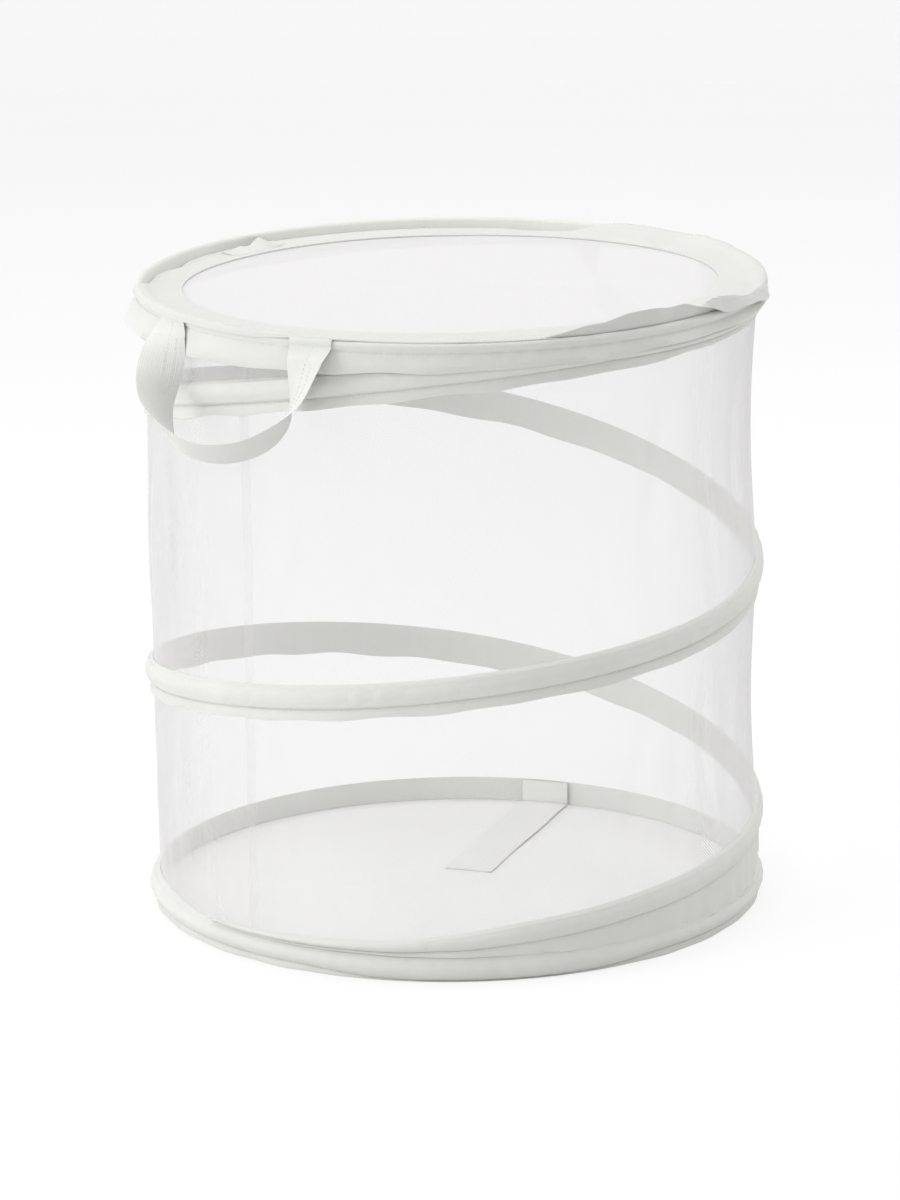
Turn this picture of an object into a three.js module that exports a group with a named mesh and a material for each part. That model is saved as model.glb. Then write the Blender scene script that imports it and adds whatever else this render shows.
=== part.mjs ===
// A pop up laundry hamper: an open wire spring that holds out a sheer net cylinder.
// A steel ring runs round the rim and another round the foot, and a spiral of the same wire
// winds down between them. Each wire lies in a sewn fabric casing. A net lid with a fabric
// border is sewn to the rim along one side and folds up from there. Two webbing handles hang
// at the rim, and a strap on the base and a tab on the rim hold the hamper when it is folded.
// Millimetres, +Z up, the origin in the middle of the base, on the floor.

import * as THREE from "three";

// The whole hamper
const hamperDiameter = 450;
const hamperHeight = 455;
const roundSteps = 48;
const clearance = 0.3;

// Cloth and wire
const netThickness = 0.8;
const fabricThickness = 0.8;
const webbingThickness = 1.2;
const wireDiameter = 2;
const sleeveWallThickness = 0.4;
const sleeveClearance = 0.2;

// The casings on the wires
const tapeHeight = 25;
const tapeFlangeHeight = 7.5;
const tapePocketLeastHeight = 8;
const bottomTapeHeight = 18;
const bottomTapeFlangeHeight = 5;
const rimSeamDepth = 9;
const rimLegOverlapHeight = 3;
const skirtMeanHeight = 21;
const skirtSwingHeight = 7.5;
const skirtShortestAngle = 350;

// The spiral, in quarter turns clockwise from the right hand side, as its lower edge's height
const spiralStartAngle = -15;
const spiralEndAngle = 832.5;
const spiralStartHeight = 8.7;
const spiralHeightShares = [1, 1, 0.962, 0.821, 0.689, 0.514, 0.426, 0.328, 0.219, 0.071];
const wallDrawInDepth = 3;
const wallFoldDepth = 0.7;
const wallFolds = 16;
const wallRows = 12;
const seamTapeWidth = 8;
const seamTapeThickness = 0.6;
const seamFacet = 30;

// The lid
const lidFacing = 295;
const lidSeamHalfAngle = 41;
const lidOpening = 100;
const lidTuckedSteps = 3;
const lidTuckedLength = 26;
const lidBorderWidth = 34;
const lidNetLapWidth = 4;
const lidSteps = 48;
const lidLiftHeight = 12.5;
const lidLiftFrom = -15;
const lidLiftTo = 56;
const lidTipLength = 5.5;
const lidTipAngle = 51;
const lidTipSpread = 9;

// The handles
const handleWidth = 32;
const handleFacing = 227.8;
const handleHalfSpan = 17.2;
const handleDropHeight = 69;
const handleStandOffDepth = 33;
const handleHingeDepth = 14;
const handleTabTopDepth = 4;
const handleTabHeight = 13;
const handleSteps = 52;
const handlePanels = 3;
const handleEdgeShare = 0.85;
const handleTwist = 137;

// The strap on the base and the tab on the rim
const strapWidth = 36;
const strapLength = 178;
const strapAngle = 71.5;
const strapHeading = 250.5;
const patchThickness = 0.6;
const strapPatchLength = 50;
const tabWidth = 15;
const tabLength = 58;
const tabAngle = 127;
const tabHeading = 225;
const tabPatchLength = 26;
const patchMarginWidth = 2;

// Radii and heights that follow from the sizes above
const outerRadius = hamperDiameter / 2;
const wireRadius = wireDiameter / 2;
const sleeveBore = wireRadius + sleeveClearance;
const sleeveRadius = sleeveBore + sleeveWallThickness;
const boreRadius = sleeveRadius + clearance;
const arcSteps = 4;
const rollInner = boreRadius / Math.cos(Math.PI / arcSteps / 2);
const rollOuter = rollInner + fabricThickness;
const ringRadius = outerRadius - rollOuter;
const topRingHeight = hamperHeight - rollOuter;
const tapeDepth = 2 * boreRadius + 2 * fabricThickness;
const tapeOuterRadius = outerRadius - fabricThickness - clearance;
const tapeInnerRadius = tapeOuterRadius - tapeDepth;
const tapeWireRadius = tapeInnerRadius + tapeDepth / 2;
const wallRadius = tapeInnerRadius - clearance;
const wallBottom = netThickness + clearance;
const seamHeight = hamperHeight - rimSeamDepth;
const wallTop = seamHeight - clearance;
const stepAngle = 360 / roundSteps;

const finishes = {
  tape: { color: 0xe4e4df, roughness: 0.8, metalness: 0 },
  net: { color: 0xf4f4f3, roughness: 0.9, metalness: 0 },
  border: { color: 0xe8e8e5, roughness: 0.8, metalness: 0 },
  webbing: { color: 0xf3f3f0, roughness: 0.75, metalness: 0 },
  steel: { color: 0xb4b6b8, roughness: 0.35, metalness: 1 },
  plastic: { color: 0xdadada, roughness: 0.5, metalness: 0 },
  hook: { color: 0xf0f0ee, roughness: 0.95, metalness: 0 },
};

const radians = THREE.MathUtils.degToRad;
const mix = THREE.MathUtils.lerp;
const lerpClamped = (value, from, to, low, high) =>
  mix(low, high, THREE.MathUtils.clamp((value - from) / (to - from), 0, 1));

function polar(radius, angle, height) {
  return new THREE.Vector3(radius * Math.cos(radians(angle)), radius * Math.sin(radians(angle)), height);
}

// A section's points are [radius, height] pairs, stood up at an angle round the axis.
const standUp = (outline, angle) => outline.map(([radius, height]) => polar(radius, angle, height));

// The triangles of a flat section, and whether they turn the same way as its outline.
function capTriangles(outline, hole) {
  const normal = new THREE.Vector3();
  outline.forEach((point, i) => {
    const next = outline[(i + 1) % outline.length];
    normal.add(new THREE.Vector3().crossVectors(point, next));
  });
  normal.normalize();
  const across = new THREE.Vector3().subVectors(outline[1], outline[0]);
  across.addScaledVector(normal, -across.dot(normal)).normalize();
  const up = new THREE.Vector3().crossVectors(normal, across);
  const flat = (points) => points.map((p) => new THREE.Vector2(p.dot(across), p.dot(up)));
  const contour = flat(outline);
  const holes = hole ? [flat(hole)] : [];
  const triangles = THREE.ShapeUtils.triangulateShape(contour, holes);
  const all = [...contour, ...holes.flat()];
  const area = triangles.reduce((sum, t) => sum + THREE.ShapeUtils.area(t.map((i) => all[i])), 0);
  return area > 0 ? triangles : triangles.map((t) => [...t].reverse());
}

// A closed body through a row of sections with equal numbers of points. A ring of sections
// closes on itself, and any other row gets flat ends. Bores run through it lengthwise.
function loft(sections, { ring = false, bores = null } = {}) {
  const points = [];
  const faces = [];
  const rows = bores ? [sections, bores] : [sections];
  const starts = rows.map((row, level) => {
    const start = points.length;
    const count = row[0].length;
    row.forEach((section) => points.push(...section));
    const spans = ring ? row.length : row.length - 1;
    for (let i = 0; i < spans; i += 1) {
      const here = start + i * count;
      const next = start + ((i + 1) % row.length) * count;
      for (let j = 0; j < count; j += 1) {
        const k = (j + 1) % count;
        const quad = [here + j, next + j, next + k, here + k];
        if (level === 1) quad.reverse();
        faces.push([quad[0], quad[1], quad[2]], [quad[0], quad[2], quad[3]]);
      }
    }
    return start;
  });
  if (!ring) {
    [0, sections.length - 1].forEach((i) => {
      const outer = sections[i].length;
      const inner = bores ? bores[i].length : 0;
      const index = (n) => (n < outer ? starts[0] + i * outer + n : starts[1] + i * inner + n - outer);
      capTriangles(sections[i], bores && bores[i]).forEach((t) => {
        const face = t.map(index);
        faces.push(i === 0 ? face : face.reverse());
      });
    });
  }
  const volume = faces.reduce((sum, [a, b, c]) => {
    return sum + points[a].dot(new THREE.Vector3().crossVectors(points[b], points[c]));
  }, 0);
  if (volume < 0) faces.forEach((face) => face.reverse());
  const geometry = new THREE.BufferGeometry().setFromPoints(points);
  geometry.setIndex(faces.flat());
  geometry.computeVertexNormals();
  return geometry;
}

const hamper = new THREE.Group();

function add(name, geometry, finish) {
  const piece = new THREE.Mesh(geometry, new THREE.MeshStandardMaterial(finishes[finish]));
  piece.name = name;
  hamper.add(piece);
  return piece;
}

// Round sections, all with their points on the same directions
function roundSection(radius, height, size, sides, turn = 0) {
  return Array.from({ length: sides }, (_, i) => {
    const angle = radians(turn + (360 * i) / sides);
    return [radius + size * Math.cos(angle), height + size * Math.sin(angle)];
  });
}
const wireSides = 6;
const boreSides = 6;
const boreTurn = 30;
const boreReach = boreRadius / Math.cos(Math.PI / boreSides);

const ringAngles = Array.from({ length: roundSteps }, (_, i) => i * stepAngle);

// A ring wire is cut once, and a crimped sleeve closes the cut.
const ringCutFacet = 5;
const ringCutGapWidth = 0.25;
function addRingWire(prefix, radius, height) {
  const cut = (ringCutFacet + 0.5) * stepAngle;
  const halfGap = THREE.MathUtils.radToDeg(ringCutGapWidth / radius);
  const facetRadius = (angle) => {
    const offset = radians(angle - cut);
    return (radius * Math.cos(radians(stepAngle / 2))) / Math.cos(offset);
  };
  const middle = ringAngles.map((a) => a + (ringCutFacet + 1) * stepAngle);
  const ends = [cut + halfGap, ...middle, cut + 360 - halfGap];
  const wire = ends.map((angle, i) => {
    const atEnd = i === 0 || i === ends.length - 1;
    const reach = atEnd ? facetRadius(i === 0 ? angle : angle - 360) : radius;
    return standUp(roundSection(reach, height, wireRadius, wireSides), angle);
  });
  add(`${prefix}_ring_wire`, loft(wire), "steel");

  const sleeveEnds = [ringCutFacet * stepAngle, (ringCutFacet + 1) * stepAngle];
  const tube = (size) => sleeveEnds.map((a) => standUp(roundSection(radius, height, size, wireSides), a));
  const sleeveGrow = 1 / Math.cos(Math.PI / wireSides);
  add(`${prefix}_ring_sleeve`, loft(tube(sleeveRadius), { bores: tube(sleeveBore * sleeveGrow) }), "steel");
}

// The rim: a strip of fabric rolled over the ring wire. Its inner leg takes the net and the
// lid, and its outer leg hangs as a skirt, deepest on the left and shallowest on the right.
function skirtDrop(angle) {
  return skirtMeanHeight - skirtSwingHeight * Math.cos(radians(angle - skirtShortestAngle));
}
function rimSection(angle) {
  const arc = (size) => Array.from({ length: arcSteps + 1 }, (_, i) => {
    const turn = (Math.PI * i) / arcSteps;
    return [ringRadius + size * Math.cos(turn), topRingHeight + size * Math.sin(turn)];
  });
  const skirtEdge = hamperHeight - skirtDrop(angle);
  const legEdge = seamHeight - rimLegOverlapHeight;
  return [
    [ringRadius + rollOuter, skirtEdge],
    ...arc(rollOuter),
    [tapeInnerRadius, legEdge],
    [tapeInnerRadius + fabricThickness, legEdge],
    ...arc(rollInner).reverse(),
    [ringRadius + rollInner, skirtEdge],
  ];
}
addRingWire("top", ringRadius, topRingHeight);
add("top_casing", loft(ringAngles.map((a) => standUp(rimSection(a), a)), { ring: true }), "tape");

// The tape casing of the spiral and of the foot: a flat back against the net, a pocket that
// bulges over the wire, a stitched crease under the pocket and a loose flange below it.
const pocketShoulder = fabricThickness;
const shoulderShare = 0.3;
function tapeSection(bottom, top, flange) {
  const crease = bottom + flange;
  const pocket = top - crease;
  const middle = crease + pocket / 2;
  const inner = tapeInnerRadius;
  return {
    middle,
    outline: [
      [inner, bottom],
      [inner + fabricThickness, bottom],
      [inner + fabricThickness, crease],
      [tapeOuterRadius - pocketShoulder, middle - pocket * shoulderShare],
      [tapeOuterRadius, middle],
      [tapeOuterRadius - pocketShoulder, middle + pocket * shoulderShare],
      [inner + fabricThickness, top],
      [inner, top],
    ],
    bore: roundSection(tapeWireRadius, middle, boreReach, boreSides, boreTurn),
  };
}

const foot = tapeSection(0, bottomTapeHeight, bottomTapeFlangeHeight);
addRingWire("bottom", tapeWireRadius, foot.middle);

// The foot's casing is one length of tape, and its two ends meet at the seam of the wall.
const footMeeting = THREE.MathUtils.radToDeg(clearance / 2 / wallRadius);
const footStart = seamFacet * stepAngle;
const footAngles = [
  footStart + footMeeting,
  ...ringAngles.slice(1).map((angle) => footStart + angle),
  footStart + 360 - footMeeting,
];
const footRun = (outline) => footAngles.map((angle) => standUp(outline, angle));
add("bottom_casing", loft(footRun(foot.outline), { bores: footRun(foot.bore) }), "tape");

const basePanel = new THREE.CylinderGeometry(wallRadius, wallRadius, netThickness, roundSteps);
basePanel.rotateX(Math.PI / 2);
add("base_panel", basePanel, "border").position.z = netThickness / 2;

// The spiral's lower edge runs through a height at each quarter turn. It lands on the foot's
// casing and lies on it to its end. Its upper edge stays under the roll of the rim.
const footTop = bottomTapeHeight + clearance;
const spiralCeiling = seamHeight - rimLegOverlapHeight - clearance;
const spiralStart = spiralCeiling - spiralStartHeight;
const spiralRun = spiralHeightShares.map((share) => mix(footTop, spiralStart, share));
const spiralStations = [...spiralRun, footTop, footTop];
const spiralCurve = new THREE.SplineCurve(
  spiralStations.map((height, i) => new THREE.Vector2((i - 1) * 90, height)),
);
function spiralEdge(turned) {
  const along = (turned + 90) / (90 * (spiralStations.length - 1));
  return Math.max(spiralCurve.getPoint(along).y, footTop);
}
const spiralEndTaper = 45;
const spiralEndHeight = 14;
function spiralSection(turned) {
  const bottom = spiralEdge(turned);
  const taperFrom = spiralEndAngle - spiralEndTaper;
  const tall = lerpClamped(turned, taperFrom, spiralEndAngle, tapeHeight, spiralEndHeight);
  const top = Math.min(bottom + tall, spiralCeiling);
  return tapeSection(bottom, top, Math.min(tapeFlangeHeight, top - bottom - tapePocketLeastHeight));
}
const spiralTurns = [];
for (let turned = spiralStartAngle; turned <= spiralEndAngle; turned += stepAngle) {
  spiralTurns.push(turned);
}
const spiralSections = spiralTurns.map((turned) => ({ angle: -turned, ...spiralSection(turned) }));
add(
  "spiral_casing",
  loft(
    spiralSections.map((s) => standUp(s.outline, s.angle)),
    { bores: spiralSections.map((s) => standUp(s.bore, s.angle)) },
  ),
  "tape",
);

// The spiral wire stops one step short of its casing at both ends, in a plastic cap.
const wireRun = spiralSections.slice(1, -1);
const spiralWire = wireRun.map((s) => {
  return standUp(roundSection(tapeWireRadius, s.middle, wireRadius, wireSides), s.angle);
});
add("spiral_wire", loft(spiralWire), "steel");

const capLength = 9;
const capWallThickness = 0.4;
const capLapLength = 6;
function addCap(name, end, neighbour) {
  const tip = polar(tapeWireRadius, end.angle, end.middle);
  const back = polar(tapeWireRadius, neighbour.angle, neighbour.middle);
  const outward = new THREE.Vector3().subVectors(tip, back).normalize();
  const profile = [
    [0, capLength - capLapLength],
    [sleeveRadius, capLength - capLapLength],
    [sleeveRadius, -capLapLength],
    [sleeveRadius - capWallThickness, -capLapLength],
    [sleeveRadius - capWallThickness, clearance],
    [0, clearance],
  ].map(([radius, height]) => new THREE.Vector2(radius, height));
  const cap = add(name, new THREE.LatheGeometry(profile.reverse(), wireSides * 2), "plastic");
  cap.position.copy(tip);
  cap.quaternion.setFromUnitVectors(new THREE.Vector3(0, 1, 0), outward);
}
addCap("spiral_top_cap", wireRun[0], wireRun[1]);
addCap("spiral_bottom_cap", wireRun[wireRun.length - 1], wireRun[wireRun.length - 2]);

// The net wall is one sheet, closed by a seam. It draws in between the turns of the spiral and
// falls in faint upright folds, and it lies against the casings where they cross it.
function wallDepth(angle, height) {
  if (height <= footTop) return 0;
  const edges = [footTop, hamperHeight];
  for (let turned = -angle; turned <= spiralEndAngle; turned += 360) {
    if (turned >= spiralStartAngle) edges.push(spiralEdge(turned) + tapeHeight / 2);
  }
  const below = Math.max(...edges.filter((edge) => edge <= height));
  const above = Math.min(...edges.filter((edge) => edge > height));
  const bay = Math.sin((Math.PI * (height - below)) / (above - below)) ** 2;
  const slack = (above - below) / hamperHeight;
  const fold = wallFoldDepth * (1 - Math.cos(radians(angle * wallFolds)));
  return bay * (wallDrawInDepth * Math.min(1, 2 * slack) + fold);
}
const wallHeights = [wallBottom];
for (let row = 0; row < wallRows; row += 1) {
  wallHeights.push(mix(footTop, wallTop, row / (wallRows - 1)));
}
const wallPoint = (angle, height, inward) => wallRadius - inward - wallDepth(angle, height);
const wallSections = ringAngles.map((angle) => {
  const outside = wallHeights.map((height) => [wallPoint(angle, height, 0), height]);
  const inside = wallHeights.map((height) => [wallPoint(angle, height, netThickness), height]);
  return standUp([...outside, ...inside.reverse()], angle);
});
add("wall_net", loft(wallSections, { ring: true }), "net");

// The seam's tape lies flat inside one facet of the wall.
const seamAngles = [seamFacet, seamFacet + 1].map((facet) => facet * stepAngle);
const facetWidth = 2 * wallRadius * Math.sin(radians(stepAngle / 2));
const seamSides = [0.5 - seamTapeWidth / facetWidth / 2, 0.5 + seamTapeWidth / facetWidth / 2];
const seamRows = wallHeights.map((height) => {
  const face = (inward) => seamSides.map((share) => {
    const [from, to] = seamAngles.map((angle) => polar(wallPoint(angle, height, inward), angle, height));
    return from.lerp(to, share);
  });
  const near = netThickness + clearance;
  return [...face(near), ...face(near + seamTapeThickness).reverse()];
});
add("wall_seam_tape", loft(seamRows), "tape");

// The lid lies in two flat parts. The part by its seam is level, at the rim's seam, and the
// flap rises from the fold to lie on top of the rim at its free edge.
const lidFoldReach = outerRadius * Math.cos(radians(lidSeamHalfAngle));
const lidRise = (rimSeamDepth + clearance) / (lidFoldReach + outerRadius);
const lidSlope = Math.atan(lidRise);
const foldGap = (fabricThickness + netThickness) / 2;
const borderInner = outerRadius - lidBorderWidth;
const lidNetRadius = borderInner + lidNetLapWidth;
const lidLevel = seamHeight + clearance;
const lidSurface = (fromFold) => lidLevel + Math.max(0, fromFold) * lidRise;
const borderLevel = netThickness + clearance;

function addLidNet(name, flap) {
  const side = flap ? 1 : -1;
  const start = Math.acos((-lidFoldReach + side * foldGap) / lidNetRadius);
  const shape = new THREE.Shape();
  if (flap) shape.absarc(lidFoldReach, 0, lidNetRadius, -start, start, false);
  else shape.absarc(lidFoldReach, 0, lidNetRadius, start, 2 * Math.PI - start, false);
  const sheet = new THREE.ExtrudeGeometry(shape, {
    depth: netThickness, bevelEnabled: false, curveSegments: lidSteps / 2,
  });
  if (flap) sheet.rotateY(-lidSlope);
  const net = add(name, sheet, "net");
  net.position.copy(polar(-lidFoldReach, lidFacing, lidLevel));
  net.rotation.z = radians(lidFacing);
}
addLidNet("lid_net", true);
addLidNet("lid_back_net", false);

// The flap's border lies out over the rim along its free side. By the fold it is tucked inside
// the rim, and there it stays clear of the rim while it swings up.
const overRim = hamperHeight + 2 * clearance - borderLevel;
const overRadius = outerRadius - fabricThickness;
const insideRadius = wallRadius;
const swingDepth = hamperHeight - lidLevel + fabricThickness;
function tuckedPoint(fromFold) {
  const past = fromFold > swingDepth
    ? Math.sqrt(fromFold ** 2 - swingDepth ** 2)
    : fromFold * Math.cos(radians(lidOpening));
  const across = Math.sqrt((insideRadius - clearance) ** 2 - (lidFoldReach - past) ** 2);
  const ahead = fromFold - lidFoldReach;
  return { radius: Math.hypot(across, ahead), angle: THREE.MathUtils.radToDeg(Math.atan2(across, ahead)) };
}
const oneStep = 2 / lidSteps;
const tuckFrom = 1 - lidTuckedSteps * oneStep;
function flapEdge(share) {
  const away = Math.abs(share);
  const lastTucked = tuckedPoint(lidTuckedLength);
  const side = Math.sign(share);
  if (away >= tuckFrom) {
    const tucked = tuckedPoint(lerpClamped(away, tuckFrom, 1, lidTuckedLength, foldGap));
    return { radius: tucked.radius, angle: side * tucked.angle, climb: 0, lift: 0 };
  }
  const angle = (share / tuckFrom) * lastTucked.angle;
  const climb = lerpClamped(away, tuckFrom - oneStep, tuckFrom, 1, 0);
  const spread = lerpClamped(away, tuckFrom - 2 * oneStep, tuckFrom - oneStep, 1, 0);
  const lifted = (angle - lidLiftFrom) / (lidLiftTo - lidLiftFrom);
  const lift = lifted > 0 && lifted < 1 ? lidLiftHeight * Math.sin(Math.PI * lifted) ** 1.5 : 0;
  const tip = lidTipLength * Math.exp(-(((angle - lidTipAngle) / lidTipSpread) ** 2));
  return { radius: mix(lastTucked.radius, overRadius, spread) + tip, angle, climb, lift };
}
function borderSection(inner, outer, raise) {
  const spans = [0, 0.3, 0.65, 1];
  const at = (share, level) => {
    const point = new THREE.Vector3().lerpVectors(inner, outer, share);
    point.z += borderLevel + level + raise * share * (1 - share);
    return point;
  };
  return [...spans.map((s) => at(s, 0)), ...spans.map((s) => at(s, fabricThickness)).reverse()];
}
function lidPoint(radius, angle) {
  const point = polar(radius, lidFacing + angle, 0);
  const fromFold = lidFoldReach + radius * Math.cos(radians(angle));
  point.z = lidSurface(fromFold);
  return point;
}
const foldAngle = (radius, gap) => THREE.MathUtils.radToDeg(Math.acos((gap - lidFoldReach) / radius));
const flapBorder = Array.from({ length: lidSteps + 1 }, (_, i) => {
  const share = (2 * i) / lidSteps - 1;
  const inner = lidPoint(borderInner, share * foldAngle(borderInner, foldGap));
  const edge = flapEdge(share);
  const outer = lidPoint(edge.radius, edge.angle);
  outer.z = mix(outer.z, overRim, edge.climb) + edge.lift;
  return borderSection(inner, outer, 0);
});
add("lid_border", loft(flapBorder), "border");

const backSteps = 12;
const backBorder = Array.from({ length: backSteps + 1 }, (_, i) => {
  const share = i / backSteps;
  const at = (radius) => {
    const start = foldAngle(radius, -foldGap);
    return lidPoint(radius, mix(start, 360 - start, share));
  };
  return borderSection(at(borderInner), at(insideRadius), 0);
});
add("lid_back_border", loft(backBorder), "border");

// A ribbon of webbing: flat sections across a run of middle points, each with its own width,
// thickness and directions. Panels across the width let a twisted ribbon keep its thickness,
// and its woven edges may be thinner.
function ribbon(stations, panels = 1, edgeShare = 1) {
  const shares = Array.from({ length: panels + 1 }, (_, i) => (2 * i) / panels - 1);
  const half = (a) => (Math.abs(a) < 1 ? 1 : edgeShare);
  const outline = [...shares.map((a) => [a, -half(a)]), ...shares.toReversed().map((a) => [a, half(a)])];
  return loft(stations.map(({ middle, across, through, width, thick }) => {
    return outline.map(([a, b]) => {
      const corner = middle.clone().addScaledVector(across, (a * width) / 2);
      return corner.addScaledVector(through, (b * thick) / 2);
    });
  }));
}
const upward = new THREE.Vector3(0, 0, 1);

// A handle hangs from a line across its two sewn ends, just clear of the rim. Its route is
// given along that line, out from it and down from it, as shares of the handle's own sizes,
// and its twist at the same places, as shares of its greatest twist.
const handleRouteShares = [
  [-1, 0, 0], [-0.97, 0.36, 0.3], [-0.79, 0.8, 0.64], [-0.43, 1, 0.91], [0.02, 0.89, 1],
  [0.47, 0.63, 0.91], [0.81, 0.43, 0.67], [0.97, 0.22, 0.35], [1, 0, 0],
];
const handleTwistShares = [0, 0.33, 0.73, 0.98, 0.93, 0.82, 0.62, 0.25, 0];
const tabRadius = outerRadius + clearance + webbingThickness / 2;
const handleSpan = tabRadius * Math.sin(radians(handleHalfSpan));
const handleAxisReach = (tabRadius + webbingThickness / 2) * Math.cos(radians(handleHalfSpan))
  + (handleWidth / 2) * Math.sin(radians(handleHalfSpan)) + clearance + webbingThickness / 2;
const handleHeight = hamperHeight - handleHingeDepth;

function addHandle(prefix, facing) {
  const out = polar(1, facing, 0);
  const along = new THREE.Vector3().crossVectors(upward, out);
  const hinge = out.clone().multiplyScalar(handleAxisReach).setZ(handleHeight);
  const route = handleRouteShares.map(([a, o, d]) => {
    const point = hinge.clone().addScaledVector(along, a * handleSpan);
    point.addScaledVector(out, o * handleStandOffDepth);
    return point.addScaledVector(upward, -d * handleDropHeight);
  });
  const curve = new THREE.CatmullRomCurve3(route, false, "catmullrom");
  const twists = new THREE.CatmullRomCurve3(handleTwistShares.map((share) => {
    return new THREE.Vector3(share, 0, 0);
  }), false, "catmullrom");
  const stations = Array.from({ length: handleSteps + 1 }, (_, i) => {
    const share = i / handleSteps;
    const tangent = curve.getTangentAt(share);
    const sewn = i === 0 || i === handleSteps;
    if (sewn) tangent.copy(upward).multiplyScalar(i === 0 ? -1 : 1);
    const flat = new THREE.Vector3().crossVectors(tangent, out).normalize();
    const edge = new THREE.Vector3().crossVectors(flat, tangent);
    const twist = radians(handleTwist) * twists.getPoint(curve.getUtoTmapping(share)).x;
    const across = flat.multiplyScalar(Math.cos(twist)).addScaledVector(edge, Math.sin(twist));
    const through = new THREE.Vector3().crossVectors(tangent, across);
    return { middle: curve.getPointAt(share), across, through, width: handleWidth, thick: webbingThickness };
  });
  add(`${prefix}_loop`, ribbon(stations, handlePanels, handleEdgeShare), "webbing");

  [["left", -1], ["right", 1]].forEach(([side, sign]) => {
    const angle = facing + sign * handleHalfSpan;
    const tangent = new THREE.Vector3().crossVectors(upward, polar(1, angle, 0));
    const heights = [hamperHeight - handleTabTopDepth, hamperHeight - handleTabTopDepth - handleTabHeight];
    const sewn = heights.map((height) => ({
      middle: polar(tabRadius, angle, height),
      across: tangent,
      through: polar(1, angle, 0),
      width: handleWidth,
      thick: webbingThickness,
    }));
    add(`${prefix}_tab_${side}`, ribbon(sewn), "webbing");
  });
}
addHandle("handle_front", handleFacing);
addHandle("handle_back", handleFacing - 180);

// A flat strap on a level surface: its root, its heading, and a patch of hook tape under its
// free end. It gets the patch's thickness as room beneath it.
function addStrap(name, root, heading, width, length, patchLength) {
  const ahead = polar(1, heading, 0);
  const side = new THREE.Vector3().crossVectors(upward, ahead);
  const flatPiece = (from, to, level, wide, thick) => ribbon([from, to].map((reach) => ({
    middle: root.clone().addScaledVector(ahead, reach).addScaledVector(upward, level + thick / 2),
    across: side,
    through: upward,
    width: wide,
    thick,
  })));
  const strapLevel = patchThickness + 2 * clearance;
  add(name, flatPiece(0, length, strapLevel, width, webbingThickness), "webbing");
  const patchEnd = length - patchMarginWidth;
  const patchWidth = width - 2 * patchMarginWidth;
  const patch = flatPiece(patchEnd - patchLength, patchEnd, clearance, patchWidth, patchThickness);
  add(`${name}_patch`, patch, "hook");
}

// The fold strap is sewn to the foot of the wall and lies on the base.
const anchorReach = Math.sqrt((wallRadius - netThickness - clearance) ** 2 - (strapWidth / 2) ** 2)
  * Math.cos(radians(stepAngle / 2)) - webbingThickness / 2;
const strapInset = anchorReach - webbingThickness / 2 - clearance
  - (strapWidth / 2) * Math.abs(Math.sin(radians(strapHeading - strapAngle - 180)));
addStrap("fold_strap", polar(strapInset, strapAngle, netThickness), strapHeading,
  strapWidth, strapLength, strapPatchLength);
const anchor = [wallBottom + clearance, bottomTapeHeight].map((height) => ({
  middle: polar(anchorReach, strapAngle, height),
  across: new THREE.Vector3().crossVectors(upward, polar(1, strapAngle, 0)),
  through: polar(1, strapAngle, 0),
  width: strapWidth,
  thick: webbingThickness,
}));
add("strap_anchor", ribbon(anchor), "webbing");

// The closing tab is sewn in at the rim and lies along the lid's border.
const tabReach = insideRadius - tabWidth / 2 - clearance;
const tabRoot = polar(tabReach, tabAngle, lidLevel + borderLevel + fabricThickness);
addStrap("closing_tab", tabRoot, tabHeading, tabWidth, tabLength, tabPatchLength);

export default hamper;
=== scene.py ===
import math
import random

import bmesh
import bpy
import numpy as np
from mathutils import Matrix, Vector


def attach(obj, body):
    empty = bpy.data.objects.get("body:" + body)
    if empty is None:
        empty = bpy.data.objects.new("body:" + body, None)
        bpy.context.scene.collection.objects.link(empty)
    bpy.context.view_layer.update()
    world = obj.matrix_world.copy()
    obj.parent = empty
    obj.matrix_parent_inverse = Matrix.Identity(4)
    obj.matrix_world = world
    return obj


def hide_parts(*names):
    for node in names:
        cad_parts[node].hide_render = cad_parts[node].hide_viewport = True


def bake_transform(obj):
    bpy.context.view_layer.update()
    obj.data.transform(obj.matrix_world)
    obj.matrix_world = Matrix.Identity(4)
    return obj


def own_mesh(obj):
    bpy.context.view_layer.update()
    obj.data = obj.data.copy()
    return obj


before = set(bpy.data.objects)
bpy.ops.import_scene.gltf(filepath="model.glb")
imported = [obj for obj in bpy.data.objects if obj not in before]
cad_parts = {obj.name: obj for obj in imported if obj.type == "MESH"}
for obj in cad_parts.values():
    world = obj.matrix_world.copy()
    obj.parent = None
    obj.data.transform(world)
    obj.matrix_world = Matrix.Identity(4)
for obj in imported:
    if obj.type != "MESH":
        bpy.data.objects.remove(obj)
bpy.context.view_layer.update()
MM = 0.001

# ---- The studio ----
# A white table top that runs into a white backdrop, with a long lens a little above the
# hamper. The light comes mostly from the left and above, so the front stays in soft shade.
SENSOR, FOCAL_PIXELS, FRAME_PIXELS = 24, 5738, 1200
camera_data = bpy.data.cameras.new("studio_camera")
camera_data.sensor_fit = "VERTICAL"
camera_data.sensor_height = SENSOR
camera_data.lens = SENSOR * FOCAL_PIXELS / FRAME_PIXELS
camera = bpy.data.objects.new("studio_camera", camera_data)
bpy.context.collection.objects.link(camera)
camera_place = Vector((0, -4.0107, 1.2812))
camera_aim = Vector((-0.00265, 0, 0.2168))
camera_roll = Matrix.Rotation(math.radians(-0.678), 3, "Z")
camera.location = camera_place
camera.rotation_mode = "QUATERNION"
camera_turn = (camera_aim - camera_place).to_track_quat("-Z", "Y").to_matrix()
camera.rotation_quaternion = (camera_turn @ camera_roll).to_quaternion()
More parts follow.
